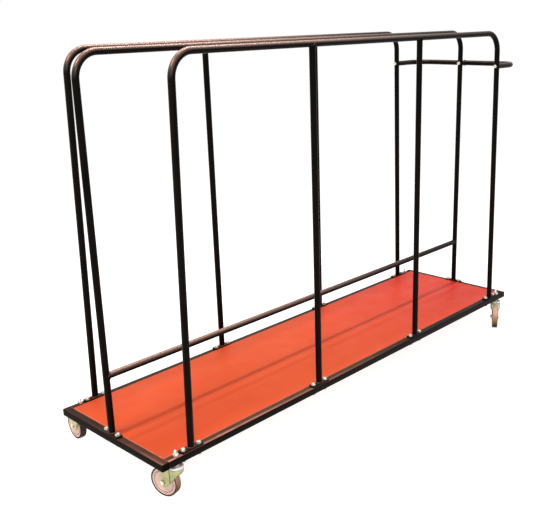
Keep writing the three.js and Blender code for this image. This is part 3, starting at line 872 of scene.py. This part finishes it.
for name, place in castor_places.items():
    add_piece(name + "_stem_bar", stem_mesh, "frame", place, [name + "_stem"])
    add_piece(name + "_cup", cup_mesh, "frame", place)
    add_piece(name + "_kingpin", pin_mesh, "frame", place)
    add_piece(name + "_stem_nut", nut_mesh, "frame", place, [name + "_nut"])
    add_piece(name + "_balls", ball_mesh, name + "_swivel", place, [name + "_ball_ring"])


# Castor forks. Each is pressed from 2.4 mm sheet: a round crown that sits under the cup and draws in
# below, and two flat cheeks that leave it in a crease and run back to a lobe round the axle. It is zinc
# plated with a yellow-green passivation.
fork_width = 0.045
leg_width = 0.031
knee_top = 0.078
knee_low = 0.062
lobe_radius = 0.0115
lobe_steps = 24
lobe_ahead = 0.005
lobe_drop = 0.004
crown_reach = 0.028
fork_rear_x = 0.05
fork_rear_z = 0.086
fork_lip = 0.007
fork_edge = 0.0005
crown_bend = 0.0044
crown_bend_inside = 0.0022
leg_bend_inside = 0.002
knee_bend = 0.006
cheek_return = 0.01
crown_return = 0.008
crown_sides = 96
bore_sides = 32
lip_clearance = 0.0012
wheel_radius = 0.05


def prism_skin(outline, axis, start, end):
    """An outline drawn out along X from (y, z) points, or along Y from (x, z) points."""
    rings = []
    for along in (start, end):
        if axis == "X":
            rings.append([Vector((along, u, v)) for u, v in outline])
        else:
            rings.append([Vector((u, along, v)) for u, v in outline])
    return loft(rings)


def carved(name, skin, *cuts):
    """A skin after joins and cuts with others, each given as a way and a skin."""
    work = add_thing(name, new_mesh(name, skin, fork_zinc))
    tools = []
    for way, tool_skin in cuts:
        tool = add_thing(name + "_tool", new_mesh(name + "_tool", tool_skin, fork_zinc))
        step = work.modifiers.new(way, "BOOLEAN")
        step.operation, step.object, step.solver = way, tool, "EXACT"
        tools.append(tool)
    depsgraph = bpy.context.evaluated_depsgraph_get()
    result = bpy.data.meshes.new_from_object(work.evaluated_get(depsgraph))
    for thing in (work, *tools):
        bpy.data.objects.remove(thing)
    return [v.co.copy() for v in result.vertices], [tuple(face.vertices) for face in result.polygons]


half_fork, half_leg = fork_width / 2, leg_width / 2
leg_inside = half_leg - fork_sheet
lobe_x, lobe_z = trail - lobe_ahead, axle_z - lobe_drop
leg_low = lobe_z - 2 * lobe_radius
web_top = crown_top - fork_sheet / 8
leg_section = round_corners([
    (-half_leg, leg_low), (-half_leg, web_top), (half_leg, web_top), (half_leg, leg_low),
    (leg_inside, leg_low), (leg_inside, crown_under),
    (-leg_inside, crown_under), (-leg_inside, leg_low),
], [0, crown_bend, crown_bend, 0, 0, leg_bend_inside, leg_bend_inside, 0], 6)
crown_profile = round_corners([
    (kingpin_diameter / 4, crown_under), (half_fork - fork_sheet, crown_under),
    (half_fork - fork_sheet, knee_top), (leg_inside, knee_low), (half_leg, knee_low),
    (half_fork, knee_top), (half_fork, crown_top), (kingpin_diameter / 4, crown_top),
], [0, crown_bend_inside, knee_bend, 0, 0, knee_bend, crown_bend, 0], 6)
wheel_room = prism_skin([
    (leg_inside, -crown_under), (leg_inside, crown_under),
    (-leg_inside, crown_under), (-leg_inside, -crown_under),
], "X", 0.0, fork_width)
nose_x, nose_z = -half_fork, crown_top - fork_lip
above = crown_top + fork_lip
to_nose = math.hypot(nose_x - lobe_x, nose_z - lobe_z)
lobe_start = math.atan2(nose_z - lobe_z, nose_x - lobe_x) + math.acos(lobe_radius / to_nose)
lobe = [
    (lobe_x + lobe_radius * math.cos(a), lobe_z + lobe_radius * math.sin(a))
    for a in (lobe_start + (2 * math.pi - lobe_start) * k / lobe_steps for k in range(lobe_steps + 1))
]
behind = round_corners([
    lobe[-1], (fork_rear_x, fork_rear_z), (crown_reach, crown_top), (crown_reach, above),
], [0, cheek_return, crown_return, 0], 6)
side_view = [(-fork_width, above), (-fork_width, nose_z), (nose_x, nose_z)] + lobe + behind[1:]
bore_radius = bolt_diameter / 2 + fit_gap
axle_bore = [(trail + bore_radius * x, axle_z + bore_radius * z) for x, z in round_turn(bore_sides)]
lip_low = axle_z + math.sqrt(wheel_radius ** 2 - (trail - crown_reach) ** 2) + lip_clearance
rear_lip = [
    (crown_reach - fork_sheet, lip_low), (crown_reach, lip_low),
    (crown_reach, crown_under + fork_sheet / 2), (crown_reach - fork_sheet, crown_under + fork_sheet / 2),
]
pin_bore_radius = kingpin_diameter / 2 + fit_gap
pin_bore = turned_skin([(pin_bore_radius, crown_under - fork_lip), (pin_bore_radius, above)])
fork_skin = carved(
    "fork_blank", turned_skin(crown_profile, crown_sides, loop=True),
    ("UNION", prism_skin(leg_section, "X", 0.0, trail + 2 * lobe_radius)), ("DIFFERENCE", wheel_room),
    ("INTERSECT", prism_skin(side_view, "Y", -fork_width, fork_width)),
    ("DIFFERENCE", prism_skin(axle_bore, "Y", -fork_width, fork_width)), ("DIFFERENCE", pin_bore),
    ("UNION", prism_skin(rear_lip, "Y", fork_sheet / 2 - half_leg, half_leg - fork_sheet / 2)),
)
fork_mesh = new_mesh("castor_fork", fork_skin, fork_zinc, crease=28)
for name, place in castor_places.items():
    swivel = name + "_swivel"
    fork = add_piece(name + "_pressed_fork", fork_mesh, swivel, place, [name + "_fork"])
    easing = fork.modifiers.new("eased edges", "BEVEL")
    easing.width = fork_edge
    easing.segments = 2
    easing.limit_method = "ANGLE"
    easing.angle_limit = math.radians(50)
    easing.harden_normals = True


# Castor axles. An M8 bolt through both cheeks and the wheel's hub, with its head on the side that shows
# and a lock nut on the other. All is zinc plated.
axle_end = 0.0015

seat = half_leg + fit_gap
axle_skin = together(
    bolt_skin(seat, -seat - bolt_nut / 2), nut_skin(-seat, axle_end, axle_end / 2, (True, False)),
)
axle_mesh = new_mesh("castor_axle", axle_skin, zinc)
lay_along_y = Matrix.Translation((trail, 0, axle_z)) @ Matrix.Rotation(-math.pi / 2, 4, "X")
for name, place in castor_places.items():
    place = place @ lay_along_y
    add_piece(name + "_axle_bolt", axle_mesh, name + "_swivel", place, [name + "_axle"])


# Castor wheels. The centre is moulded in pale plastic, with a hub, a dished web and a broad rim that has
# a groove round its face. A thin grey rubber tyre is moulded on. Its tread is brown on the front castors
# and near-black as painted shade on the rear ones, with painted shade below and a painted highlight on top.
tyre_depth = 0.005
tyre_half = 0.0115
tyre_edge = 0.0022
tyre_lip = 0.0003
tread_start, tread_full = 0.0012, 0.0003
hub_radius = 0.01
hub_taper = 0.001
web_taper = 0.002
web_half = 0.008
rim_half = 0.0105
rim_depth = 0.012
groove_share = 0.3
groove_width = 0.0042
groove_depth = 0.0026
axle_clearance = 0.0004
wheel_sides = 96


def from_axle(finish, start, end):
    """From 0 to 1 between two distances from the wheel's own axis."""
    place = add_node(finish, "TexCoord").outputs["Object"]
    flat = add_node(finish, "Mapping", {"Vector": place, "Scale": (1, 1, 0)}).outputs["Vector"]
    length = add_node(finish, "VectorMath", {0: flat}, operation="LENGTH").outputs["Value"]
    return graded_value(finish, length, 0.0, 1.0, start, end)


plastic = new_finish(
    "pale moulded plastic", Specular_IOR_Level=0.4, Subsurface_Weight=0.06,
    Subsurface_Radius=(0.004, 0.002, 0.0015),
)
moulded = clouded(plastic, seen(252, 220, 210), seen(255, 236, 228), 45, 4)
soiled = graded_value(plastic, mottle(plastic, 110, 5), 0.0, 0.2, 0.6, 0.8)
worn = blended(plastic, soiled, moulded, seen(222, 188, 172))
# Painted shade: the wheel's hollows turn dull pinkish brown.
plastic_with_hollow_shade = blended(plastic, hollow_shade(plastic, 0.006, 0.7), worn, seen(186, 132, 120))
set_surface(plastic, plastic_with_hollow_shade, (80, 3, 0.42, 0.55), (700, 2, 0.00003))


def tyre_rubber(name, low_tread, high_tread, tread_highlight):
    """Grey rubber with a mottled tread, painted darker on faces that look down as shade and lighter on those
    that look up as a highlight.
    """
    rubber = new_finish(name, Specular_IOR_Level=0.3)
    side = clouded(rubber, seen(42, 37, 33), seen(62, 56, 50), 90, 4)
    tread_tone = clouded(rubber, low_tread, high_tread, 120, 5)
    # Painted shade on the tread's underside, and a painted highlight on its top.
    shaded = blended(rubber, facing_up(rubber, -0.5, -0.05), seen(42, 36, 28), tread_tone)
    tread = blended(rubber, facing_up(rubber, 0.0, 0.6), shaded, tread_highlight)
    on_tread = from_axle(rubber, wheel_radius - tread_start, wheel_radius - tread_full)
    set_surface(rubber, blended(rubber, on_tread, side, tread), (60, 3, 0.6, 0.8), (800, 3, 0.00004))
    return rubber


# The front and rear tyres are lit and shaded copies of one rubber: the rear castors' near-black tread is
# painted shade from the deck.
lit_tread = seen(150, 112, 74), seen(186, 144, 100), seen(228, 184, 166)
shaded_tread = seen(46, 42, 38), seen(66, 60, 54), seen(58, 52, 46)
tyre_finishes = {
    "front": tyre_rubber("grey rubber, brown tread", *lit_tread),
    "rear": tyre_rubber("grey rubber, tread in painted shade", *shaded_tread),
}

core_radius = wheel_radius - tyre_depth - fit_gap
step_radius = core_radius - rim_depth
groove_middle = step_radius + rim_depth * groove_share
hub_half = leg_inside - fit_gap
half_profile = [
    (bolt_diameter / 2 + axle_clearance, hub_half), (hub_radius, hub_half),
    (hub_radius + hub_taper, web_half), (step_radius - web_taper, web_half), (step_radius, rim_half),
    (groove_middle - groove_width / 2, rim_half), (groove_middle - groove_width / 3, rim_half - groove_depth),
    (groove_middle + groove_width / 3, rim_half - groove_depth), (groove_middle + groove_width / 2, rim_half),
    (core_radius, rim_half),
]
half_radii = [0.0004, 0.001, 0.0018, 0.0018, 0.0008, 0.0003, 0.0003, 0.0003, 0.0003, 0.0004]
core_profile = half_profile + [(radius, -side) for radius, side in reversed(half_profile)]
core_outline = round_corners(core_profile, half_radii + half_radii[::-1], 3)
core_skin = turned_skin(core_outline, wheel_sides, loop=True)
core_mesh = new_mesh("castor_wheel", core_skin, plastic, crease=40)
tyre_profile = [
    (wheel_radius - tyre_depth, -tyre_half), (wheel_radius, -tyre_half),
    (wheel_radius, tyre_half), (wheel_radius - tyre_depth, tyre_half),
]
tyre_outline = round_corners(tyre_profile, [tyre_lip, tyre_edge, tyre_edge, tyre_lip], 5)
tyre_skin = turned_skin(tyre_outline, wheel_sides, loop=True)
tyre_meshes = {
    side: new_mesh(f"castor_tyre_{side}", tyre_skin, finish, crease=40)
    for side, finish in tyre_finishes.items()
}
for name, place in castor_places.items():
    place = place @ lay_along_y
    add_piece(name + "_wheel_centre", core_mesh, name + "_wheel", place, [name + "_wheel_core"])
    tyre_mesh = tyre_meshes[name.rsplit("_", 1)[1]]
    add_piece(name + "_tyre_ring", tyre_mesh, name + "_wheel", place, [name + "_tyre"])


# The studio. A white floor and background that stay white for the camera and in reflections, a soft fill
# from all round, and soft lamps: a long one overhead and one behind it, one beyond each end of the
# trolley, which light its upper sides, and one on the viewer's side.
floor_reach = 30.0
floor_drop = 0.0005
fill_strength = 0.18
floor_glow = 0.92

bpy.ops.mesh.primitive_plane_add(size=2 * floor_reach, location=(0, 0, -floor_drop))
floor = bpy.context.object
floor.name = "studio_floor"
floor_white = bpy.data.materials.new("white studio floor")
floor_white.use_nodes = True
floor_white.node_tree.nodes.remove(shader_of(floor_white))
matt = add_node(floor_white, "BsdfDiffuse", {"Color": (0.8, 0.8, 0.8, 1)})
soft = add_node(floor_white, "BsdfDiffuse", {"Color": (0.5, 0.5, 0.5, 1)})
glow = add_node(floor_white, "Emission", {"Color": (1, 1, 1, 1), "Strength": floor_glow})
lit = add_node(floor_white, "AddShader", {0: soft.outputs["BSDF"], 1: glow.outputs["Emission"]})
floor.data.materials.append(floor_white)


def show_white(finish, filling, shown, output):
    """Shows one shader to the camera, in reflections and through glass, and lets another fill in light."""
    path = add_node(finish, "LightPath").outputs
    either = reckoned(finish, "MAXIMUM", path["Is Camera Ray"], path["Is Glossy Ray"])
    shown_ray = reckoned(finish, "MAXIMUM", either, path["Is Transmission Ray"])
    mix = add_node(finish, "MixShader", {0: shown_ray, 1: filling, 2: shown})
    finish.node_tree.links.new(mix.outputs["Shader"], finish.node_tree.nodes[output].inputs["Surface"])


show_white(floor_white, matt.outputs["BSDF"], lit.outputs["Shader"], "Material Output")

world = bpy.data.worlds.new("white studio")
bpy.context.scene.world = world
world.use_nodes = True
fill = world.node_tree.nodes["Background"]
fill.inputs["Color"].default_value = (1, 1, 1, 1)
fill.inputs["Strength"].default_value = fill_strength
white = add_node(world, "Background", {"Color": (1, 1, 1, 1), "Strength": 1.0})
show_white(world, fill.outputs["Background"], white.outputs["Background"], "World Output")


def add_lamp(name, place, towards, long_way, size, power, colour):
    """A soft rectangular lamp that looks at a point, with its first side along a given direction."""
    light = bpy.data.lights.new(name, "AREA")
    light.shape = "RECTANGLE"
    light.size, light.size_y = size
    light.energy = power
    light.color = colour
    lamp = add_thing(name, light)
    back = (Vector(place) - Vector(towards)).normalized()
    across = Vector(long_way)
    across = (across - across.dot(back) * back).normalized()
    up = back.cross(across)
    lamp.matrix_world = Matrix.Translation(place) @ Matrix((across, up, back)).transposed().to_4x4()


lengthways, crossways = (1, 0, 0), (0, 1, 0)
add_lamp("overhead_lamp", (0.3, 0.32, 3.9), (0.3, 0.0, 0.3), lengthways, (2.8, 0.24), 74, (1.0, 0.95, 0.9))
add_lamp("rear_lamp", (0.3, 1.37, 3.9), (0.3, 0.0, 0.3), lengthways, (2.8, 0.26), 46, (1.0, 0.9, 0.84))
add_lamp("near_lamp", (-2.5, 0.1, 3.2), (-0.9, 0.0, 1.2), crossways, (1.1, 0.8), 56, (1.0, 0.66, 0.5))
add_lamp("far_lamp", (1.6, -0.35, 3.7), (-0.3, -0.1, 1.2), crossways, (2.4, 1.2), 24, (1.0, 0.77, 0.68))
add_lamp("viewer_lamp", (-3.4, -3.2, 2.6), (-0.6, 0.0, 0.3), lengthways, (2.0, 1.6), 60, (1.0, 0.97, 0.96))


# The camera, at the photograph's viewing point. Its place, turn, focal length and the offset of its
# middle come from the trolley's own straight lines in the photograph.
focal_pixels = 794.87
middle_x_pixel, middle_y_pixel = 314.3, 253.66
photo_width, photo_height = 533, 512
sensor_width = 36.0
camera_place = (-2.2289, -2.0403, 1.4035)
camera_turn = (73.452, 1.164, -47.614)

lens = bpy.data.cameras.new("photo_camera")
lens.sensor_fit = "HORIZONTAL"
lens.sensor_width = sensor_width
lens.lens = focal_pixels * sensor_width / photo_width
lens.shift_x = (photo_width / 2 - middle_x_pixel) / photo_width
lens.shift_y = (middle_y_pixel - photo_height / 2) / photo_width
camera = add_thing("photo_camera", lens)
camera.location = camera_place
camera.rotation_euler = [math.radians(angle) for angle in camera_turn]
bpy.context.scene.camera = camera
bpy.context.scene.view_settings.view_transform = "Standard"
